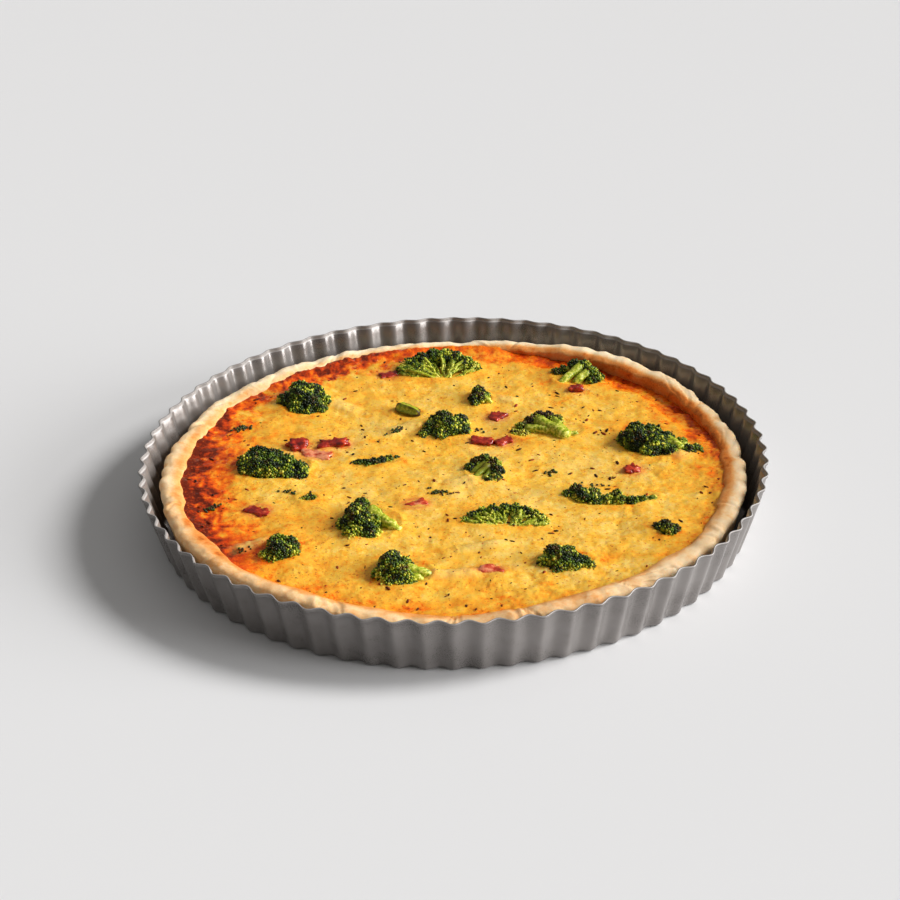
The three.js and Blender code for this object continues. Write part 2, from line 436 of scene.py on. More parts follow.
def build_ring(material):
    """The fluted wall with its stepped lip, foot corner and inward ledge, as one bent sheet."""
    steps = FLUTES * FLUTE_STEPS
    angles = np.arange(steps) * TURN / steps
    wave = flute_wave(angles)[:, None]
    edge = PAN_HEIGHT - RIM_ROUNDING - RIM_EDGE_DIP * (1 - wave)
    under_lip = edge - LIP_HEIGHT

    corner = np.linspace(-90, 0, 6)[None, :] * math.pi / 180
    foot = wall_radius(CORNER_RADIUS, wave)
    corner_r = foot - CORNER_RADIUS + CORNER_RADIUS * np.cos(corner)
    corner_z = CORNER_RADIUS + CORNER_RADIUS * np.sin(corner) + 0 * wave
    ledge_r = LEDGE_INNER_RADIUS + (foot - CORNER_RADIUS - LEDGE_INNER_RADIUS) * LEDGE_ROWS
    ledge_z = np.zeros_like(ledge_r)
    share = np.linspace(0, 1, 9)[None, 1:]
    wall_z = CORNER_RADIUS + (under_lip - CORNER_RADIUS) * share
    wall_r = wall_radius(wall_z, wave) - LIP_STEP * share**6
    lip_share = np.linspace(0, 1, 17)[None, 1:]
    lip_z = under_lip + LIP_HEIGHT * lip_share
    lines = sum(bell(lip_share, place, LIP_LINE_WIDTH) for place in LIP_LINES)
    lip_r = wall_radius(lip_z, wave) - LIP_STEP * (1 - smooth(lip_share, 0, 0.3)) - LIP_LINE_DEPTH * lines

    radius, height = sheet_loop(
        np.hstack([ledge_r, corner_r, wall_r, lip_r]), np.hstack([ledge_z, corner_z, wall_z, lip_z]), SHEET
    )
    points = round_points(angles, radius, height)
    rows = radius.shape[1]
    lip_rows = lip_z.shape[1]
    # The rows over the rim's edge and the lip's inside: bare steel, and a painted highlight along the rim.
    bare_and_highlit = np.zeros(rows)
    bare_and_highlit[rows // 2 - 2 : rows // 2 + lip_rows] = 1
    faces = ring_faces(steps, rows, True)
    attributes = {"bare_edge_and_highlight": np.tile(bare_and_highlit, steps)}
    make_piece("pan_wall", points, faces, material, "ring", ["fluted_ring"], attributes)


def build_base(material):
    """The loose disc: flat, with a shallow pressed ring inside its edge."""
    low, high = node_box("loose_base")
    top = [(high[0] * share, high[2] - BASE_INSET + rise) for share, rise in BASE_PROFILE]
    bottom = [(radius, height - (high[2] - low[2]) + BASE_THINNING) for radius, height in top]
    line = np.array(bottom + top[::-1])
    angles = np.arange(BASE_STEPS) * TURN / BASE_STEPS
    points = round_points(angles, np.tile(line[:, 0], (BASE_STEPS, 1)), line[:, 1])
    faces = ring_faces(BASE_STEPS, len(line), False)
    spoke = np.arange(BASE_STEPS) * len(line)
    points = capped(points, faces, spoke, (0, 0, line[0, 1]), False)
    points = capped(points, faces, spoke + len(line) - 1, (0, 0, line[-1, 1]), True)
    bare_and_highlit = np.zeros(len(points))
    make_piece("pan_base", points, faces, material, "base", ["loose_base"], {"bare_edge_and_highlight": bare_and_highlit}, "base_steel")


# ---- The quiche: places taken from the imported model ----

FILLING_TOP = node_box("egg_filling")[1][2]
FILLING_RADIUS = node_box("egg_filling")[1][0]
BROCCOLI_NODES = [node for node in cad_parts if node.startswith("broccoli_")]
SLICE_NODE = "broccoli_stem_slice"
FLORET_NODES = [node for node in BROCCOLI_NODES if node != SLICE_NODE]
HAM_NODES = [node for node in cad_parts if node.startswith("ham_")]


def node_points(node):
    """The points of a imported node's mesh, in millimetres."""
    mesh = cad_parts[node].data
    points = np.empty(len(mesh.vertices) * 3)
    mesh.vertices.foreach_get("co", points)
    return points.reshape(-1, 3) / MM


# ---- Pastry ----

CRUST_STEPS = 1008
CRUST_RADIUS = 131.0
CRUST_RADIUS_HEIGHT = 20.0  # where the side has that radius
CRUST_SIDE_INSET = 0.4  # how far the side lies inside that
CRUST_FOOT = 1.2  # how far the side's foot is drawn in and up
CRUST_FLOOR_RADIUS = 117.3
CRUST_FLOOR_HEIGHT = 4.0
CRUST_INNER_DEPTH = 4.0  # how far the inner face goes down past the filling's top
CRUST_WIDTH = 9.8
CRUST_CREST = 2.8  # how high the rounded top of the edge stands above its side
CRUST_SIDE_SLOPE = WALL_DRAFT / PAN_HEIGHT
CRUST_FLUTE_DEPTH = 0.5
CRUST_CREASE_DEPTH = 0.9
TOAST_START_RADIUS = 127.0
TOAST_FULL_RADIUS = 122.6
# Sides that are more or less toasted, with the back paler partly as painted light: how much, the direction in
# degrees, and how far round from it the change reaches and is full.
TOAST_AND_PAINTED_LIGHT_SIDES = (
    (0.06, 190, 60, 30),
    (0.14, 250, 70, 40),
    # Painted light: the back is less toasted and so paler, standing in for light on its inner face, which the
    # lamps leave in shade.
    (-0.16, 100, 70, 35),
)


def crust_edge_height(angles):
    """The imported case's edge height at each angle."""
    points = node_points("pastry_crust")
    points = points[np.hypot(points[:, 0], points[:, 1]) > FILLING_RADIUS]
    spokes = 96
    spoke = np.round(np.arctan2(points[:, 1], points[:, 0]) / TURN * spokes).astype(int) % spokes
    tops = np.zeros(spokes)
    np.maximum.at(tops, spoke, points[:, 2])
    return np.interp(angles, np.arange(spokes) * TURN / spokes, tops, period=TURN)


def crust_creases(angles, radius):
    """0 to 1 where the pastry is pinched: ragged lines that run across the edge, leaning a little."""
    lean = 0.06 * noise(round_points(angles, np.full((len(angles), 1), CRUST_RADIUS), 0), 30, 1, 21)[:, None]
    turned = angles[:, None] + lean * (radius - CRUST_RADIUS)
    rim = np.stack([np.cos(turned), np.sin(turned), 0 * turned], axis=-1).reshape(-1, 3) * CRUST_RADIUS
    lines = 1 - smooth(np.abs(noise(rim, 15, 3, 22)), 0, 0.13)
    strong = smooth(noise(rim, 21, 1, 23), -0.25, 0.3)
    return (lines * strong).reshape(radius.shape)


def pastry_look():
    """Baked shortcrust: pale cream, toasted where the attribute says, and painted paler at the back as
    painted light, with a dry crumb.
    """
    look = Look(
        "pastry",
        Roughness=0.68,
        Specular_IOR_Level=0.25,
        Subsurface_Weight=0.2,
        Subsurface_Scale=0.002,
        Subsurface_Radius=(1.0, 0.6, 0.35),
    )
    patch = look.noise(7, 4, 0.6)
    fine = look.noise(0.9, 3, 0.6)
    toast_and_light = look.vary(look.attribute("toast_and_light"), patch, 0.11)
    toast_and_light = look.vary(toast_and_light, fine, 0.07, clamp=True)
    tone = look.ramp(
        toast_and_light,
        (0.0, 255, 232, 196),
        (0.3, 248, 206, 152),
        (0.55, 240, 170, 98),
        (0.8, 222, 124, 44),
        (1.0, 160, 72, 20),
    )
    look.bump((look.noise(2.6, 3), 0.25, 0.5), (fine, 0.12, 0.6), (look.cells(1.5), 0.08, 0.3))
    return look.drive(Base_Color=tone)


def crust_section(angles, bottom):
    """Radii and heights of the case's rows at each angle: foot, side, rounded edge and inner face."""
    rim = np.stack([np.cos(angles), np.sin(angles), 0 * angles], axis=1) * CRUST_RADIUS
    flutes = np.cos(angles * FLUTES)[:, None]
    lumps = noise(rim, 17, 3)[:, None]
    sway = noise(rim, 27, 2, 20)[:, None]
    edge = crust_edge_height(angles)[:, None] + 0.10 * flutes + 1.0 * lumps

    side_top = edge - CRUST_CREST
    side_share = np.linspace(0, 1, 12)[None, :]
    side_z = bottom + CRUST_FOOT + (side_top - bottom - CRUST_FOOT) * side_share
    ripple = CRUST_FLUTE_DEPTH * flutes * (1 - 0.7 * side_share) + (0.8 * lumps + 0.9 * sway) * side_share
    lean = (CRUST_RADIUS_HEIGHT - side_z) * CRUST_SIDE_SLOPE
    side_r = CRUST_RADIUS - lean + ripple - CRUST_SIDE_INSET

    swing = np.linspace(0, 165, 26)[None, 1:] * math.pi / 180
    half = CRUST_WIDTH / 2 * (1 + 0.22 * noise(rim, 24, 2, 24)[:, None])
    crest_r = side_r[:, -1:] - half + half * np.cos(swing)
    crest_z = side_top + CRUST_CREST * np.sin(swing) ** 0.7 * (1 + 0.16 * np.cos(swing))
    pinched = crust_creases(angles, crest_r)
    crest_z = crest_z - CRUST_CREASE_DEPTH * pinched * np.sin(swing)
    crest_r = crest_r - 0.9 * pinched * smooth(np.cos(swing), 0.2, 0.9)

    inner_share = np.linspace(0, 1, 8)[None, 1:]
    inner_r = crest_r[:, -1:] + (FILLING_RADIUS - 0.6 - crest_r[:, -1:]) * inner_share**0.7
    inner_z = crest_z[:, -1:] + (FILLING_TOP - CRUST_INNER_DEPTH - crest_z[:, -1:]) * inner_share

    foot_r = side_r[:, :1] - CRUST_FOOT - np.array([[20, 0]])
    foot_z = np.full_like(foot_r, bottom)
    floor_r = np.full_like(foot_r[:, :1], CRUST_FLOOR_RADIUS)
    floor_z = np.full_like(floor_r, bottom + CRUST_FLOOR_HEIGHT)
    radius = np.hstack([foot_r, side_r, crest_r, inner_r, floor_r])
    height = np.hstack([foot_z, side_z, crest_z, inner_z, floor_z])
    return radius, height


def crumble(points, rows):
    """Pushes the pastry's side, edge and inner face out and up by the grain of its crumb."""
    relief = 0.95 * noise(points, 9, 2) + 0.30 * noise(points, 3, 3, 3)
    shown = np.tile(np.r_[np.zeros(3), np.ones(rows - 5), np.zeros(2)], CRUST_STEPS)
    outward = points[:, :2] / np.hypot(points[:, 0], points[:, 1])[:, None]
    points[:, :2] += outward * (relief * shown * 0.6)[:, None]
    points[:, 2] += relief * shown * 0.7


def crust_toast(points, degrees):
    """How toasted the pastry is: most beside the filling, in dabs, and more on some sides; paler at the back,
    partly as painted light.
    """
    around = np.hypot(points[:, 0], points[:, 1])
    inside = smooth(around, TOAST_START_RADIUS, TOAST_FULL_RADIUS)
    dabs = smooth(noise(points, 6, 3, 6), 0.15, 0.5)
    golden = facing(degrees, 45, 75, 35)
    toast_and_light = 0.20 + (0.3 + 0.32 * golden) * inside**1.3 + 0.12 * noise(points, 9, 2, 5) + 0.14 * dabs
    for amount, direction, reach, full in TOAST_AND_PAINTED_LIGHT_SIDES:
        toast_and_light += amount * facing(degrees, direction, reach, full)
    return toast_and_light


def build_crust(material):
    """The case's side and rounded edge, moulded by the flutes it was baked against."""
    bottom = node_box("pastry_crust")[0][2]
    angles = np.arange(CRUST_STEPS) * TURN / CRUST_STEPS
    radius, height = crust_section(angles, bottom)
    rows = radius.shape[1]
    points = round_points(angles, radius, height)
    crumble(points, rows)
    toast_and_light = crust_toast(points, np.degrees(np.repeat(angles, rows)))
    faces = ring_faces(CRUST_STEPS, rows, False)
    spoke = np.arange(CRUST_STEPS) * rows
    points = capped(points, faces, spoke, (0, 0, bottom), False)
    points = capped(points, faces, spoke + rows - 1, (0, 0, bottom + CRUST_FLOOR_HEIGHT), True)
    toast_and_light = np.clip(np.r_[toast_and_light, 0.2, 0.2], 0, 1)
    make_piece("pastry_case", points, faces, material, "tart", ["pastry_crust"], {"toast_and_light": toast_and_light})


# ---- Filling ----

FILLING_GRID = 306
FILLING_EDGE = FILLING_RADIUS + 0.9  # under the pastry's edge, so that no crack shows

# Where the edge is browner: how much, the direction in degrees, how far round from it the brown
# reaches and is full, how streaky it is, and the radii where it starts and is full.
BROWNED_SIDES = (
    (0.40, 158, 68, 40, 14, 105, 120),
    (0.34, 190, 42, 22, 10, 84, 112),
    (0.22, 85, 50, 30, 5, 104, 113),
    (0.14, 5, 40, 22, 10, 98, 116),
    (0.16, 262, 45, 25, 6, 102, 117),
)

# Where stalks lie just under the surface: place, reach along and across, height, turn in degrees.
SUNKEN_STALKS = [
    (-51, 62, 7, 4, 1.2, -30),
    (-23, 40, 9, 4, 1.6, 35),
    (4, -12, 7, 4.5, 1.4, 20),
    (0, -88, 11, 3.5, 1.6, 5),
    (14, -66, 12, 3, 1.0, 12),
    (101, 12, 7, 5, 1.3, -40),
    (-86, -62, 8, 3.5, 1.3, 30),
    (26, 66, 6, 3, 1.2, -20),
]


def from_piece(x, y, node):
    """Distance from a piece's oval outline, in millimetres, negative inside it."""
    low, high = node_box(node)
    middle, half = (low + high) / 2, (high - low) / 2
    share = np.hypot((x - middle[0]) / half[0], (y - middle[1]) / half[1])
    return (share - 1) * min(half[0], half[1])


def sunken(x, y):
    """How strongly a stalk shows under the surface, and how far it lifts it."""
    shown = np.zeros_like(x)
    lift = np.zeros_like(x)
    for middle_x, middle_y, reach, width, height, degrees in SUNKEN_STALKS:
        cos, sin = math.cos(math.radians(degrees)), math.sin(math.radians(degrees))
        along = (x - middle_x) * cos + (y - middle_y) * sin
        across = (y - middle_y) * cos - (x - middle_x) * sin
        ragged = 1 + 0.35 * noise(np.stack([x, y, 0 * x], axis=1), 6, 2, 15)
        here = np.exp(-((along / reach) ** 4) - (across / width) ** 4) * ragged
        shown = np.maximum(shown, here)
        lift = np.maximum(lift, here * height)
    return shown, lift


def near_outlines(x, y, nodes, reach):
    """1 at the outlines of some pieces, fading away over a reach in millimetres."""
    near = np.zeros_like(x)
    for node in nodes:
        near = np.maximum(near, np.exp(-np.abs(from_piece(x, y, node)) / reach))
    return near


def baked_brown(flat, radius, ragged, degrees, sunk):
    """How browned the filling is by the oven: mottled all over, and browner along its edge."""
    x = flat[:, 0]
    streaks = noise(flat, 5, 3, 12)
    calm = smooth(radius, 100, 60)
    warm = smooth(noise(flat, 30, 2, 19) + 0.2 * smooth(x, 0, 90) + 0.5 * smooth(x, -40, -100), 0.1, 0.7)
    brown = 0.22 - 0.06 * calm + 0.10 * warm + 0.17 * noise(flat, 26, 2, 2)
    brown += (0.22 - 0.10 * calm) * noise(flat, 7, 3, 4)
    for amount, direction, reach, full, streaky, start, end in BROWNED_SIDES:
        side = facing(degrees, direction, reach, full)
        brown += amount * side * smooth(ragged + streaky * streaks, start, end)
    speckles = noise(flat * np.array([1.6, 0.8, 1]), 5, 3, 18)
    brown += 0.45 * facing(degrees, 158, 68, 40) * smooth(ragged, 94, 108) * speckles
    brown += 0.16 * sunk + 0.12 * sunk * smooth(ragged + 5 * streaks, 114, 121)
    brown -= 0.05 * facing(degrees, 315, 50, 25) * smooth(radius, 50, 80)
    brown += 0.10 * smooth(ragged + 4 * streaks, 113, 121)
    return brown


def filling_surface(x, y):
    """Height of the filling at arrays of places, and how browned, with painted shade in its hollows and round
    the florets, how close over a stalk and how stained by ham it is there, each from 0 to 1."""
    flat = np.stack([x, y, np.zeros_like(x)], axis=1)
    radius = np.hypot(x, y)
    degrees = np.degrees(np.arctan2(y, x)) % 360
    ragged = radius + 3.2 * noise(flat, 13, 3, 1)
    sunk = facing(degrees, 42, 42, 22) * smooth(ragged, 107, 114)
    brown = baked_brown(flat, radius, ragged, degrees, sunk)

    rough = 0.4 + 0.8 * smooth(brown, 0.25, 0.6)
    rough += 0.6 * facing(degrees, -25, 70, 40) * smooth(radius, 70, 95)
    height = FILLING_TOP + 1.0 * noise(flat, 34, 1, 6) + 0.95 * noise(flat, 13, 2, 7)
    relief = 0.42 * noise(flat, 4.2, 2, 8) + 0.30 * noise(flat, 2.1, 1, 9)
    height += 1.25 * rough * relief
    # Painted shade: hollows of the relief are browner and its bumps paler.
    brown -= 0.22 * rough * relief
    wrinkled = flat * np.array([1, 1.8, 1]) + 2.5 * noise(flat, 15, 1, 16)[:, None]
    height += 0.28 * np.abs(noise(wrinkled, 6, 3, 10))
    height += 0.5 * smooth(noise(flat, 3.4, 1, 17), 0.36, 0.6)
    height -= 1.3 * sunk * smooth(ragged, 106, 112)
    height += 0.9 * (1 - sunk) * smooth(radius, 115, 122)
    shown, lift = sunken(x, y)
    height += lift
    near = near_outlines(x, y, BROCCOLI_NODES, 2.4)
    height += 1.1 * near
    # Painted shade: the filling is browner in a ring round each floret.
    brown += near * (0.10 + 0.14 * noise(flat, 3, 1, 11))
    return height, np.clip(brown, 0, 1), shown, near_outlines(x, y, HAM_NODES, 1.3)


def filling_look():
    """Set egg and cheese: golden, mottled orange, browned to red-brown and glossier with fat there, and
    darker where shade is painted in with the browning.
    """
    look = Look(
        "egg",
        Specular_IOR_Level=0.28,
        Subsurface_Weight=0.4,
        Subsurface_Scale=0.003,
        Subsurface_Radius=(1.0, 0.55, 0.15),
    )
    patch = look.noise(4, 4, 0.62)
    fine = look.noise(1.1, 3, 0.6)
    ragged = look.noise(5, 8, 0.7)
    brown = look.vary(look.attribute("browning_and_shade"), patch, 0.10)
    brown = look.math("ADD", brown, look.span(ragged, 0.56, 0.62, 0.0, 0.16))
    brown = look.vary(brown, fine, 0.07, clamp=True)
    tone = look.ramp(
        brown,
        (0.0, 255, 212, 112),
        (0.2, 255, 194, 66),
        (0.4, 252, 166, 40),
        (0.58, 248, 118, 12),
        (0.78, 208, 66, 6),
        (1.0, 104, 28, 4),
    )
    pale = look.math("MULTIPLY", look.attribute("stalk"), look.span(patch, 0.35, 0.6, 0.3, 0.9))
    tone = look.blend(pale, tone, colour(252, 210, 114))
    stain = look.math("MULTIPLY", look.attribute("stain"), look.span(fine, 0.3, 0.6, 0.3, 0.95))
    tone = look.blend(stain, tone, colour(224, 112, 58))
    fleck = look.span(look.noise(1.2, 2, 0.5), 0.63, 0.68)
    tone = look.blend(look.math("MULTIPLY", fleck, 0.7), tone, colour(196, 84, 18))
    rough = look.span(brown, 0.2, 0.8, 0.34, 0.22)
    look.bump((look.noise(4.5, 3), 0.9, 0.6), (fine, 0.2, 0.5), (look.noise(0.5, 2), 0.04, 0.4))
    return look.drive(Base_Color=tone, Roughness=rough)


def disc_grid(count):
    """A square grid of count by count places pressed evenly into the unit disc."""
    across = np.linspace(-1, 1, count)
    a, b = (values.ravel() for values in np.meshgrid(across, across, indexing="ij"))
    wide = np.abs(a) > np.abs(b)
    safe_a, safe_b = np.where(a == 0, 1, a), np.where(b == 0, 1, b)
    reach = np.where(wide, a, b)
    angle = np.where(wide, math.pi / 4 * b / safe_a, math.pi / 2 - math.pi / 4 * a / safe_b)
    return reach * np.cos(angle), reach * np.sin(angle)


def grid_faces(count):
    """Quads of a count by count grid, and the point numbers round its border."""
    index = np.arange(count * count).reshape(count, count)
    quads = np.stack([index[:-1, :-1], index[1:, :-1], index[1:, 1:], index[:-1, 1:]], axis=-1)
    border = np.r_[index[:-1, 0], index[-1, :-1], index[:0:-1, -1], index[0, :0:-1]]
    return quads.reshape(-1, 4).tolist(), border


def build_filling(material):
    """The egg filling: its uneven top, a short side under the pastry's edge, and a flat bottom."""
    x, y = (values * FILLING_EDGE for values in disc_grid(FILLING_GRID))
    height, brown, shown, stained = filling_surface(x, y)
    points = np.stack([x, y, height], axis=1)
    faces, border = grid_faces(FILLING_GRID)
    bottom = node_box("egg_filling")[0][2]
    lower = points[border] * np.array([0.96, 0.96, 0]) + np.array([0, 0, bottom])
    first = len(points)
    points = np.vstack([points, lower])
    below = first + np.arange(len(border))
    for here, there, under, under_next in zip(border, np.roll(border, -1), below, np.roll(below, -1)):
        faces.append([int(there), int(here), int(under), int(under_next)])
    points = capped(points, faces, below, (0, 0, bottom), False)
    padding = np.zeros(len(points) - len(x))
    attributes = {
        "browning_and_shade": np.r_[brown, padding + 0.3],
        "stalk": np.r_[shown, padding],
        "stain": np.r_[stained, padding],
    }
    make_piece("quiche_filling", points, faces, material, "tart", ["egg_filling"], attributes)


# ---- Broccoli ----

BUD_SIZE = 0.58  # mm, the radius of a bud
BUD_SPACING = 1.02
SLICE_RADIUS = 3.0
GOLDEN_ANGLE = math.pi * (3 - math.sqrt(5))


def taken_out(shape):
    """The points and faces of a bmesh, which is freed."""
    points = np.array([point.co[:] for point in shape.verts])
    faces = [[corner.index for corner in face.verts] for face in shape.faces]
    shape.free()
    return points, faces


def ball(detail):
    """The points and triangles of a unit ball."""
    shape = bmesh.new()
    bmesh.ops.create_icosphere(shape, subdivisions=detail, radius=1)
    points, faces = taken_out(shape)
    return points, np.array(faces)


BUD_POINTS, BUD_FACES = ball(1)
LOBE_POINTS, LOBE_FACES = ball(3)


class Pile:
    """Gathers many small closed shapes, with a few values for each point, into one mesh."""

    def __init__(self, *keys):
        self.points, self.faces, self.count = [], [], 0
        self.values = {key: [] for key in keys}

    def add(self, points, faces, **values):
        self.points.append(points)
        self.faces += (np.asarray(faces) + self.count).tolist()
        self.count += len(points)
        for key, gathered in self.values.items():
            gathered.append(np.broadcast_to(values.get(key, 0.0), len(points)))

    def add_copies(self, points, faces, places, sizes, **values):
        """One scaled copy of a shape at each place; values hold one number for each copy."""
        each = len(points)
        moved = places[:, None, :] + points[None] * sizes[:, None, :]
        shifted = (faces[None] + (np.arange(len(places)) * each)[:, None, None]).reshape(-1, 3)
        spread = {key: np.repeat(np.broadcast_to(value, len(places)), each) for key, value in values.items()}
        self.add(moved.reshape(-1, 3), shifted, **spread)

    def make(self, name, material, body, replaced=()):
        attributes = {key: np.concatenate(gathered) for key, gathered in self.values.items()}
        return make_piece(name, np.vstack(self.points), self.faces, material, body, replaced, attributes)


def tube(path, radii, sides=10):
    """A closed tapering tube along a path, with rounded ends."""
    path, radii = np.asarray(path, float), np.asarray(radii, float)
    along = np.gradient(path, axis=0)
    along /= np.linalg.norm(along, axis=1, keepdims=True)
    side = np.cross(along, (0, 0, 1.0))
    side /= np.linalg.norm(side, axis=1, keepdims=True) + 1e-9
    up = np.cross(side, along)
    swing = np.arange(sides) * TURN / sides
    loop = np.cos(swing)[None, :, None] * side[:, None] + np.sin(swing)[None, :, None] * up[:, None]
    points = (path[:, None] + loop * radii[:, None, None]).reshape(-1, 3)
    faces = []
    for ring in range(len(path) - 1):
        for here in range(sides):
            there = (here + 1) % sides
            a, b = ring * sides + here, ring * sides + there
            faces += [[a, a + sides, b + sides], [a, b + sides, b]]
    start, end = len(points), len(points) + 1
    last = (len(path) - 1) * sides
    for here in range(sides):
        there = (here + 1) % sides
        faces += [[here, there, start], [last + there, last + here, end]]
    tips = [path[0] - along[0] * radii[0] * 0.4, path[-1] + along[-1] * radii[-1] * 0.4]
    return np.vstack([points, tips]), faces


class Form(NamedTuple):
    """How a piece lies. A place in it is in hundredths of its packed box: across X, across Y, and up
    from the filling to the piece's top."""

    char: float  # how browned the tips are
    fresh: float  # how light the green is
    lobes: list  # the place of each lobe's top, and its radius in mm
    stems: list = ()  # each stem's two ends, and its radius in mm at each
    fan: tuple = None  # where thin branches to every lobe start
    pale: float = 0.9  # how pale the stems are


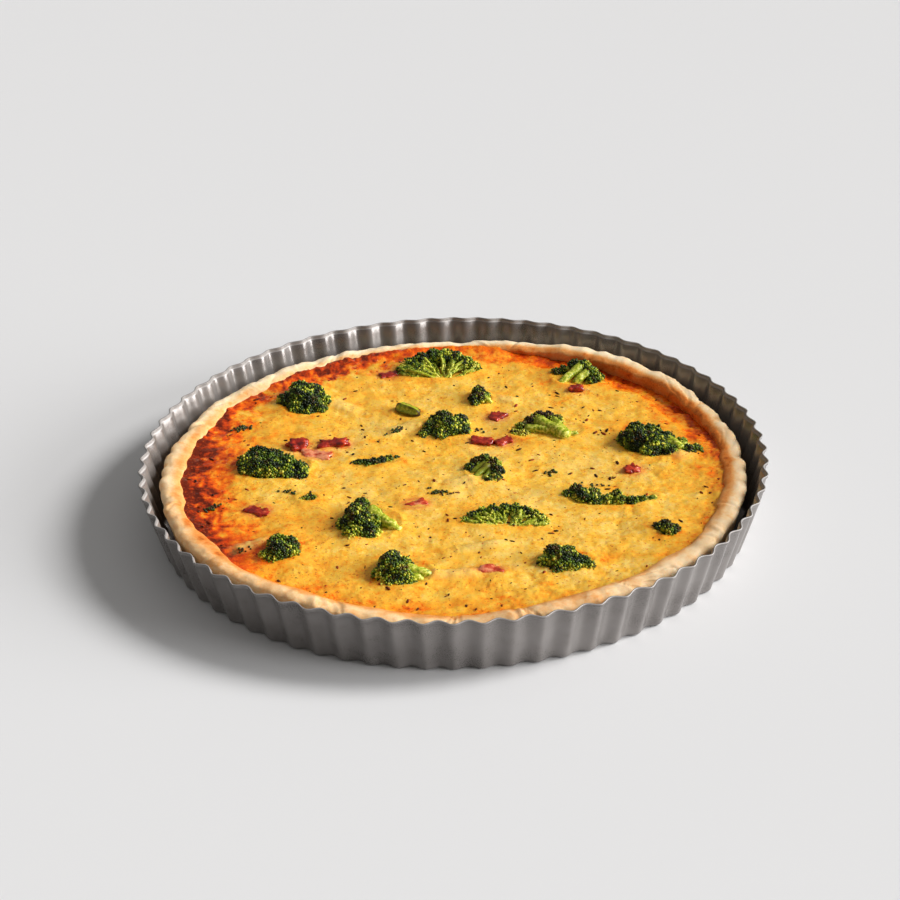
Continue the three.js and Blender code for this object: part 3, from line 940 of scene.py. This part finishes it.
BROCCOLI_FORMS = {
    "back_fan": Form(char=0.1, fresh=0.6, fan=(55, 8), lobes=[
        (7, 44, 45, 3.2), (17, 60, 70, 3.8), (30, 72, 90, 4.0), (44, 80, 100, 4.2), (58, 80, 100, 4.2),
        (71, 72, 92, 4.0), (83, 60, 74, 3.6), (93, 46, 50, 3.0), (16, 30, 42, 3.6), (27, 40, 62, 3.6),
    ]),
    "back_left": Form(char=0.12, fresh=0.25, lobes=[
        (18, 52, 62, 4.8), (40, 80, 88, 5.0), (42, 50, 100, 6.8), (66, 66, 90, 5.0), (62, 34, 80, 5.8),
        (38, 24, 55, 5.0), (84, 46, 62, 3.8), (80, 20, 36, 3.6), (58, 12, 30, 3.2),
    ]),
    "back_right": Form(char=0.3, fresh=0.3, lobes=[
        (48, 84, 96, 3.4), (62, 74, 100, 3.8), (76, 56, 78, 3.6), (88, 36, 55, 3.0), (78, 24, 40, 2.8),
        (12, 74, 42, 2.0), (26, 80, 55, 2.2),
    ], stems=[
        ((58, 70, 70), (16, 16, 5), 2.4, 1.6),
        ((70, 50, 50), (46, 20, 10), 2.2, 1.8),
        ((55, 78, 60), (24, 78, 30), 1.4, 1.0),
    ]),
    "small_back": Form(char=0.4, fresh=0.3, lobes=[
        (26, 34, 75, 2.9), (40, 74, 100, 2.9), (50, 38, 86, 3.0), (24, 16, 45, 2.4), (68, 64, 66, 2.2),
    ], stems=[
        ((50, 40, 50), (96, 22, 10), 1.7, 1.2),
    ]),
    "centre": Form(char=0.25, fresh=0.2, lobes=[
        (12, 20, 36, 3.0), (26, 40, 66, 4.2), (48, 68, 95, 4.8), (56, 38, 100, 6.0), (78, 58, 80, 4.6),
        (82, 30, 62, 4.2), (42, 16, 50, 4.2), (32, 70, 60, 3.2),
    ]),
    "long_stalk": Form(char=0.8, fresh=0.9, lobes=[
        (8, 44, 35, 2.3), (18, 60, 62, 2.8), (29, 74, 86, 3.0), (41, 86, 100, 3.0), (53, 88, 95, 2.8),
        (65, 80, 75, 2.4), (20, 38, 40, 2.6), (32, 52, 60, 2.8),
    ], stems=[
        ((38, 66, 66), (76, 22, 22), 3.0, 3.4),
        ((60, 76, 55), (72, 36, 20), 1.6, 2.4),
        ((22, 50, 40), (62, 40, 30), 1.6, 2.6),
        ((70, 30, 20), (95, 32, 5), 2.2, 0.9),
    ]),
    "right_large": Form(char=0.15, fresh=0.25, lobes=[
        (10, 62, 72, 4.4), (22, 80, 88, 4.4), (24, 50, 100, 6.8), (40, 66, 94, 5.0), (42, 36, 90, 6.6),
        (34, 20, 55, 4.6), (57, 54, 74, 3.8), (60, 22, 46, 4.2), (75, 42, 50, 3.2), (83, 24, 40, 3.4),
        (93, 32, 32, 2.4),
    ], stems=[
        ((56, 52, 45), (74, 24, 30), 2.0, 2.0),
        ((58, 36, 40), (84, 36, 25), 1.6, 1.4),
    ]),
    "left_large": Form(char=0.12, fresh=0.2, lobes=[
        (13, 60, 80, 4.6), (27, 72, 100, 5.6), (28, 38, 88, 6.0), (46, 62, 96, 5.6), (47, 30, 84, 6.0),
        (65, 48, 82, 5.2), (67, 22, 62, 5.0), (84, 34, 60, 4.0), (86, 17, 42, 3.6), (12, 36, 55, 4.0),
    ]),
    "strip_left": Form(char=0.35, fresh=0.3, lobes=[
        (8, 40, 40, 1.5), (20, 34, 80, 2.0), (34, 26, 90, 2.1), (48, 36, 100, 2.1), (62, 50, 90, 2.0),
        (76, 64, 80, 1.8), (90, 76, 60, 1.5),
    ]),
    "hook": Form(char=0.5, fresh=0.2, pale=0.1, lobes=[
        (12, 66, 55, 2.4), (30, 78, 80, 2.9), (52, 82, 100, 3.2), (73, 68, 95, 3.4), (82, 44, 80, 3.2),
        (79, 20, 50, 2.9), (60, 12, 30, 2.4),
    ], stems=[
        ((62, 62, 50), (16, 22, 0), 2.2, 0.9),
        ((50, 70, 50), (10, 44, 0), 1.8, 0.8),
        ((70, 46, 40), (40, 14, 0), 1.6, 0.8),
    ]),
    "strip_right": Form(char=0.35, fresh=0.4, lobes=[
        (6, 64, 60, 2.6), (14, 74, 92, 3.2), (20, 50, 100, 3.9), (31, 56, 85, 3.3), (33, 32, 62, 3.2),
        (45, 34, 60, 2.9), (55, 50, 78, 2.5), (59, 26, 70, 2.9), (71, 22, 60, 2.8), (82, 30, 52, 2.4),
        (92, 38, 42, 2.0),
    ]),
    "arch": Form(char=0.12, fresh=0.7, fan=(52, 12), lobes=[
        (5, 48, 36, 1.9), (14, 64, 60, 2.2), (25, 76, 82, 2.4), (37, 83, 95, 2.4), (50, 85, 100, 2.5),
        (62, 83, 96, 2.6), (74, 74, 86, 2.7), (84, 60, 72, 2.6), (92, 44, 52, 2.3), (96, 28, 34, 1.9),
    ]),
    "small_right": Form(char=0.4, fresh=0.3, lobes=[
        (22, 66, 72, 2.4), (46, 72, 92, 2.6), (54, 36, 100, 3.0), (78, 46, 72, 2.4), (68, 20, 42, 2.2),
    ]),
    "tree_left": Form(char=0.25, fresh=0.45, lobes=[
        (18, 42, 62, 4.8), (32, 62, 95, 5.2), (38, 86, 90, 3.4), (38, 40, 100, 6.2), (28, 20, 55, 5.0),
        (50, 20, 55, 4.8), (56, 44, 70, 4.2), (58, 64, 66, 2.8),
    ], stems=[
        ((50, 60, 72), (96, 26, 8), 3.0, 1.8),
    ]),
    "front_right": Form(char=0.3, fresh=0.35, lobes=[
        (16, 40, 58, 3.8), (30, 66, 92, 4.2), (40, 42, 100, 5.2), (54, 68, 82, 3.4), (36, 20, 50, 3.8),
        (66, 40, 66, 3.8), (81, 44, 46, 2.8), (90, 26, 34, 2.4), (62, 18, 40, 3.2),
    ]),
    "front_left": Form(char=0.2, fresh=0.5, lobes=[
        (20, 28, 50, 3.2), (42, 70, 90, 4.0), (48, 36, 100, 4.8), (70, 64, 86, 3.8), (78, 36, 62, 3.4),
        (34, 16, 40, 2.9),
    ]),
    "front_tree": Form(char=0.25, fresh=0.5, lobes=[
        (17, 40, 62, 4.4), (28, 62, 100, 4.8), (32, 84, 82, 3.2), (40, 36, 90, 5.2), (28, 18, 42, 3.8),
        (50, 62, 76, 3.6), (54, 26, 50, 3.8), (44, 12, 30, 2.8),
    ], stems=[
        ((50, 48, 50), (97, 42, 2), 2.4, 1.6),
        ((52, 30, 30), (80, 30, 0), 1.6, 1.2),
    ]),
    "small_left": Form(char=0.4, fresh=0.2, lobes=[
        (62, 62, 100, 1.9), (45, 42, 80, 1.7), (78, 36, 70, 1.6), (22, 34, 45, 1.3),
    ]),
}


def in_box(low, high, across_x, across_y, rise):
    """A form's place, in millimetres. Its height stops short of the box's top, to leave room for buds."""
    x, y = low[:2] + (high - low)[:2] * (np.array([across_x, across_y]) / 100)
    tips = high[2] - 2.2 * BUD_SIZE
    return np.array([x, y, FILLING_TOP + (tips - FILLING_TOP) * (rise / 100)])


def crown_lobes(form, low, high):
    """A form's lobes as rows of x, y, z and radius, each with its top at the height given."""
    rows = []
    for *place, radius in form.lobes:
        top = in_box(low, high, *place)
        rows.append((*(top - np.array([0, 0, radius])), radius))
    return np.array(rows)


def bud_places(lobes, random):
    """Places of buds over the outside of heaped lobes, and the way each one faces."""
    places, ways = [], []
    for number, (x, y, z, radius) in enumerate(lobes):
        count = int(4 * math.pi * radius**2 / BUD_SPACING**2 * 1.15)
        order = np.arange(count) + 0.5
        tilt = 1 - 2 * order / count
        swing = order * GOLDEN_ANGLE + random.uniform(0, TURN)
        flat = np.sqrt(1 - tilt**2)
        way = np.stack([flat * np.cos(swing), flat * np.sin(swing), tilt], axis=1)
        stretch = 1 + 0.20 * noise(way * 2 + number, 1.0, 2) + 0.12 * noise(way * radius + number, 2.6, 1, 3)
        spot = np.array([x, y, z]) + way * (radius * stretch)[:, None]
        clear = spot[:, 2] > FILLING_TOP - 1.2
        for other, (ox, oy, oz, other_radius) in enumerate(lobes):
            if other != number:
                clear &= np.linalg.norm(spot - (ox, oy, oz), axis=1) > other_radius * 0.93
        places.append(spot[clear])
        ways.append(way[clear])
    return np.vstack(places), np.vstack(ways)


def grow_crown(pile, lobes, form, random):
    """Fills the lobes with a core of the darkest green, painted shade seen in the gaps between buds, and
    covers them with buds.
    """
    for x, y, z, radius in lobes:
        # Painted shade: the core is the darkest green, and shows only in the gaps between the buds.
        pile.add(LOBE_POINTS * radius * 0.90 + (x, y, z), LOBE_FACES, green=0.0, char=0.0, flesh=0.0)
    places, ways = bud_places(lobes, random)
    count = len(places)
    places += random.normal(0, 0.13, places.shape) + ways * random.uniform(-0.2, 0.3, (count, 1))
    height = smooth(places[:, 2], FILLING_TOP, places[:, 2].max())
    patch = noise(places, 5.0, 2, form.fresh)
    green = 0.22 + 0.6 * form.fresh * (1.1 - height) + 0.75 * patch + random.normal(0, 0.14, count)
    green += 0.4 * (random.uniform(0, 1, count) < 0.18)
    char = form.char * (0.25 + 0.75 * height) + 0.6 * noise(places, 3.6, 2, 3)
    char += random.normal(0, 0.14, count)
    green, char = np.clip(green, 0, 1), np.clip(char, 0, 1)
    sizes = (BUD_SIZE * random.uniform(0.55, 1.2, count))[:, None] * (1 + 0.35 * np.abs(ways))
    pile.add_copies(BUD_POINTS, BUD_FACES, places, sizes, green=green, char=char, flesh=0.0)


def grow_branches(pile, lobes, base, random):
    """Thin stalks that fan out unevenly from one place, pale at the foot, with small yellow buds on them."""
    for x, y, z, radius in np.repeat(lobes, 4, axis=0):
        tip = np.array([x, y - radius * 0.5, max(z, FILLING_TOP)]) + random.normal(0, radius * 0.42, 3)
        foot = base + np.array([(tip[0] - base[0]) * random.uniform(0, 0.75), random.uniform(-0.8, 2.5), 0])
        share = np.linspace(0, 1, 8)[:, None]
        path = foot + (tip - foot) * share + np.array([0, 0, 0.8]) * np.sin(share * math.pi)
        path = path + random.normal(0, 0.28, path.shape)
        thick = np.linspace(0.5, 0.75, 8) * random.uniform(0.5, 1.5)
        points, faces = tube(path, thick, 8)
        along = np.r_[np.repeat(share[:, 0], 8), 0, 1]
        flesh = random.uniform(0.5, 1.0) * (1 - 0.5 * along)
        pile.add(points, faces, green=0.85 - 0.35 * along, char=0.0, flesh=flesh)
        buds = np.repeat(path[2:], 3, axis=0)
        count = len(buds)
        buds = buds + random.normal(0, 0.6, buds.shape)
        sizes = BUD_SIZE * random.uniform(0.4, 0.95, (count, 1)) * np.ones(3)
        green = random.uniform(0.3, 1.0, count)
        char = random.uniform(0, 0.35, count)
        pile.add_copies(BUD_POINTS, BUD_FACES, buds, sizes, green=green, char=char, flesh=0.0)


def grow_stem(pile, start, end, first_radius, last_radius, pale):
    """A thick stem between two places, ridged along its length, lighter towards its cut end."""
    rings, sides = 16, 20
    share = np.linspace(0, 1, rings)[:, None]
    path = start + (end - start) * share + np.array([0, 0, 0.5]) * np.sin(share * math.pi)
    thick = first_radius + (last_radius - first_radius) * share[:, 0]
    points, faces = tube(path, thick * (1 + 0.08 * np.sin(share[:, 0] * 11)), sides)
    points += 0.7 * noise(points, 2.2, 2)[:, None]
    along = np.r_[np.repeat(share[:, 0], sides), 0, 1]
    scorched = np.clip(0.5 - pale + 0.5 * noise(points, 4, 2, 4), 0, 1)
    pile.add(points, faces, green=0.6, char=scorched, flesh=pale * (0.45 + 0.55 * along))


def build_slice(node, material):
    """A chunk of stem lying on its side: ribbed along its length, olive, with browned ribs and ends."""
    low, high = node_box(node)
    middle, half = (low + high) / 2, (high - low) / 2
    rings, sides = 30, 40
    share = np.linspace(-1, 1, rings)[:, None]
    slant = np.array([0.80, -0.60, 0.0])
    path = np.array([middle[0], middle[1], FILLING_TOP + 1.4]) + slant * share * half[0] * 0.82
    thick = SLICE_RADIUS * (1.0 - 0.12 * share[:, 0]) * (1 - np.abs(share[:, 0]) ** 6 * 0.35)
    points, faces = tube(path, thick, sides)
    around = np.r_[np.tile(np.arange(sides) / sides * TURN, rings), 0, 0]
    ribs = np.abs(np.sin(around * 2.5))
    centre = np.vstack([np.repeat(path, sides, axis=0), path[:1], path[-1:]])
    points = centre + (points - centre) * (1.06 - 0.22 * ribs[:, None] + 0.2 * noise(points, 4, 2)[:, None])
    points[:, 2] = np.minimum(points[:, 2], high[2])
    ends = np.r_[np.repeat(np.abs(share[:, 0]), sides), 1, 1]
    scorched = 0.15 + 0.5 * (1 - ribs) + 0.4 * smooth(ends, 0.75, 1.0) + 0.5 * noise(points, 3, 2, 5)
    pile = Pile("green", "char", "flesh")
    pile.add(points, faces, green=0.5 + 0.25 * ribs, char=np.clip(scorched, 0, 1), flesh=0.25 * ribs)
    pile.make("stem_slice", material, "tart", [node])


def build_floret(node, material, random):
    """One floret, from its form: branches or stems first, then the crown's lobes and buds."""
    name = node.removeprefix("broccoli_")
    form = BROCCOLI_FORMS[name]
    low, high = node_box(node)
    pile = Pile("green", "char", "flesh")
    lobes = crown_lobes(form, low, high)
    if form.fan:
        grow_branches(pile, lobes, in_box(low, high, *form.fan, 0) - np.array([0, 0, 0.6]), random)
    for start, end, *radii in form.stems:
        first, last = (in_box(low, high, *place) - np.array([0, 0, 0.4]) for place in (start, end))
        grow_stem(pile, first, last, *radii, form.pale)
    grow_crown(pile, lobes, form, random)
    pile.make("floret_" + name, material, "tart", [node])


def broccoli_look():
    """Roasted broccoli: dark green buds, lighter green flesh, pale stalks and browned tips."""
    look = Look("broccoli", Roughness=0.38, Specular_IOR_Level=0.35)
    fine = look.noise(1.1, 3, 0.6)
    tone = look.ramp(
        look.vary(look.attribute("green"), fine, 0.12, clamp=True),
        (0.0, 10, 24, 2),
        (0.25, 36, 58, 4),
        (0.5, 88, 116, 14),
        (0.75, 170, 178, 34),
        (1.0, 230, 222, 90),
    )
    flesh = look.ramp(fine, (0.36, 104, 130, 8), (0.5, 190, 196, 40), (0.64, 246, 236, 130))
    tone = look.blend(look.attribute("flesh"), tone, flesh)
    burnt = look.ramp(look.attribute("char"), (0.4, 120, 84, 14), (0.7, 74, 36, 6), (1.0, 26, 12, 2))
    tone = look.blend(look.span(look.attribute("char"), 0.3, 0.8), tone, burnt)
    look.bump((fine, 0.08, 0.5), (look.noise(0.4, 2), 0.03, 0.4))
    return look.drive(Base_Color=tone)


# ---- Ham, herbs and pepper ----


def ham_look():
    """Baked ham: moist, deep red outside, and pinker where it is thin."""
    look = Look(
        "ham",
        Roughness=0.28,
        Coat_Weight=0.2,
        Subsurface_Weight=0.15,
        Subsurface_Scale=0.0015,
        Subsurface_Radius=(1.0, 0.3, 0.2),
    )
    patch = look.noise(3.0, 3, 0.6)
    fine = look.noise(0.8, 2, 0.6)
    tone = look.ramp(
        look.math("ADD", patch, look.attribute("pink")),
        (0.3, 84, 4, 2),
        (0.5, 146, 20, 8),
        (0.66, 200, 62, 28),
        (0.9, 240, 156, 110),
    )
    look.bump((patch, 0.5, 0.7), (fine, 0.2, 0.7))
    return look.drive(Base_Color=tone)


HAM_PINKNESS = {"left_flat": 0.34, "centre": 0.16, "front": 0.2, "left_long": 0.0, "left_cube": 0.0}


def build_ham(node, material):
    """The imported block, cut finer, rounded off and torn a little."""
    name = node.removeprefix("ham_")
    shape = bmesh.new()
    shape.from_mesh(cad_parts[node].data)
    bmesh.ops.remove_doubles(shape, verts=shape.verts, dist=1e-6)
    bmesh.ops.join_triangles(shape, faces=shape.faces, angle_face_threshold=0.1, angle_shape_threshold=0.1)
    bmesh.ops.subdivide_edges(shape, edges=shape.edges, cuts=9, use_grid_fill=True)
    for _ in range(6):
        bmesh.ops.smooth_vert(
            shape, verts=shape.verts, factor=0.5, use_axis_x=True, use_axis_y=True, use_axis_z=True
        )
    points, faces = taken_out(shape)
    points = points / MM
    middle = points.mean(axis=0)
    pull = 1 + 0.5 * noise(points, 5.0, 1) + 0.5 * noise(points, 2.0, 2, 2)
    points = middle + (points - middle) * pull[:, None] * np.array([1.05, 1.05, 0.9]) - np.array([0, 0, 0.3])
    pink = np.full(len(points), HAM_PINKNESS.get(name, 0.03))
    make_piece("ham_bit_" + name, points, faces, material, "tart", [node], {"pink": pink})


PEPPER_COUNT = 420


def scattered(count, random, reach):
    """Places spread over the filling, thicker in some spots than in others."""
    tries = count * 5
    radius = reach * np.sqrt(random.uniform(0, 1, tries))
    swing = random.uniform(0, TURN, tries)
    x, y = radius * np.cos(swing), radius * np.sin(swing)
    flat = np.stack([x, y, np.zeros(tries)], axis=1)
    kept = random.uniform(0, 1, tries) < 0.5 + 0.9 * noise(flat, 26, 2, 14)
    return x[kept][:count], y[kept][:count]


def build_pepper(material, random):
    """Ground pepper and dried herb, as small flakes lying on the filling."""
    x, y = scattered(PEPPER_COUNT, random, FILLING_RADIUS - 3)
    height = filling_surface(x, y)[0]
    size = 0.28 + 0.66 * random.uniform(0, 1, len(x)) ** 2.2
    swing = random.uniform(0, TURN, len(x))
    pile = Pile("tone")
    length = random.uniform(1.0, 2.4, len(x))
    for index in range(len(x)):
        shape = BUD_POINTS * size[index] * np.array([length[index], 0.8, 0.45])
        shape = shape * (1 + 0.35 * noise(BUD_POINTS + index, 0.8)[:, None])
        cos, sin = math.cos(swing[index]), math.sin(swing[index])
        turned = shape @ np.array([[cos, sin, 0], [-sin, cos, 0], [0, 0, 1]])
        spot = np.array([x[index], y[index], height[index] + size[index] * 0.12])
        pile.add(turned + spot, BUD_FACES, tone=random.uniform(0, 1))
    pile.make("pepper_flakes", material, "tart")


def pepper_look():
    """Dry ground pepper, from near black to red-brown."""
    look = Look("pepper", Roughness=0.7, Specular_IOR_Level=0.2)
    tone = look.ramp(
        look.attribute("tone"), (0.0, 30, 12, 4), (0.5, 74, 30, 8), (0.8, 136, 56, 16), (1.0, 170, 44, 20)
    )
    look.bump((look.noise(0.3, 2), 0.05, 0.6))
    return look.drive(Base_Color=tone)


# Loose buds that fell off the broccoli: place, spread and count.
LOOSE_BUDS = [
    (-25, 36, 4.5, 26),
    (43, -4, 4.5, 16),
    (-7, -20, 6.0, 34),
    (-98, 43, 5.0, 46),
    (-106, -30, 4.5, 40),
    (-73, -17, 5.0, 16),
    (62, -15, 6.0, 10),
    (108, 12, 4.0, 14),
    (-88, -66, 4.0, 8),
    (12, 36, 6.0, 10),
]


def build_loose_buds(material, random):
    """Small streaks of loose buds, lying on the filling."""
    pile = Pile("green", "char", "flesh")
    for middle_x, middle_y, spread, count in LOOSE_BUDS:
        x = middle_x + random.normal(0, spread * 0.45, count)
        y = middle_y + random.normal(0, spread * 0.22, count) + 0.3 * (x - middle_x) * random.choice((-1, 1))
        height = filling_surface(x, y)[0]
        size = BUD_SIZE * random.uniform(0.7, 1.3, count)
        places = np.stack([x, y, height + size * 0.35], axis=1)
        green = random.uniform(0.05, 0.35, count)
        char = random.uniform(0.0, 0.8, count)
        sizes = size[:, None] * np.ones((1, 3))
        pile.add_copies(BUD_POINTS, BUD_FACES, places, sizes, green=green, char=char, flesh=0.0)
    pile.make("loose_buds", material, "tart")


# ---- Assembly ----

FLORET_SEED = 100
LOOSE_BUD_SEED = 50
PEPPER_SEED = 51

add_camera()
add_stage()
steel = steel_look()
build_ring(steel)
build_base(steel)
build_crust(pastry_look())
build_filling(filling_look())

broccoli = broccoli_look()
build_slice(SLICE_NODE, broccoli)
for number, node in enumerate(FLORET_NODES):
    build_floret(node, broccoli, np.random.default_rng(FLORET_SEED + number))
build_loose_buds(broccoli, np.random.default_rng(LOOSE_BUD_SEED))

ham = ham_look()
for node in HAM_NODES:
    build_ham(node, ham)
build_pepper(pepper_look(), np.random.default_rng(PEPPER_SEED))
